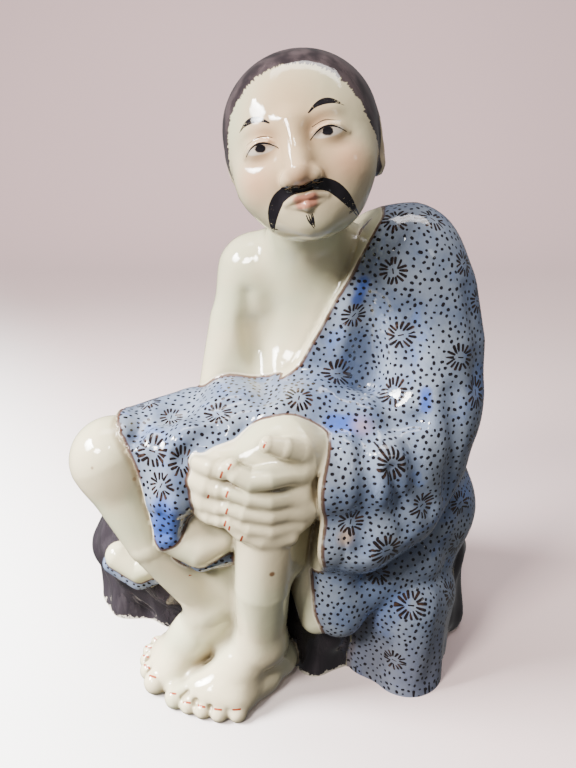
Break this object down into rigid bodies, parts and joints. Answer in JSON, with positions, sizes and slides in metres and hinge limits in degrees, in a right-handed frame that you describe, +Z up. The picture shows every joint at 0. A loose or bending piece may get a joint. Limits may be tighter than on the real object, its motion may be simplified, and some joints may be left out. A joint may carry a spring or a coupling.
{
  "type": "seated fisherman figure",
  "caption": "Glazed porcelain figure of a seated man in a loose robe, hands clasped round one knee, on a rock; stands on its flat underside",
  "frame": {"origin": "On the ground under the middle of the figure's box.", "axes": "+Z is up, the figure faces -Y, and his right side is at -X."},
  "size_m": [0.1818, 0.126, 0.25],
  "materials": {
    "glazed_porcelain": "glossy glaze over painted robe, pale celadon skin and dark purple-grey rock; bare foot rim"
  },
  "bodies": {
    "root": {"fisherman_figure": "glazed_porcelain"}
  },
  "joints": []
}
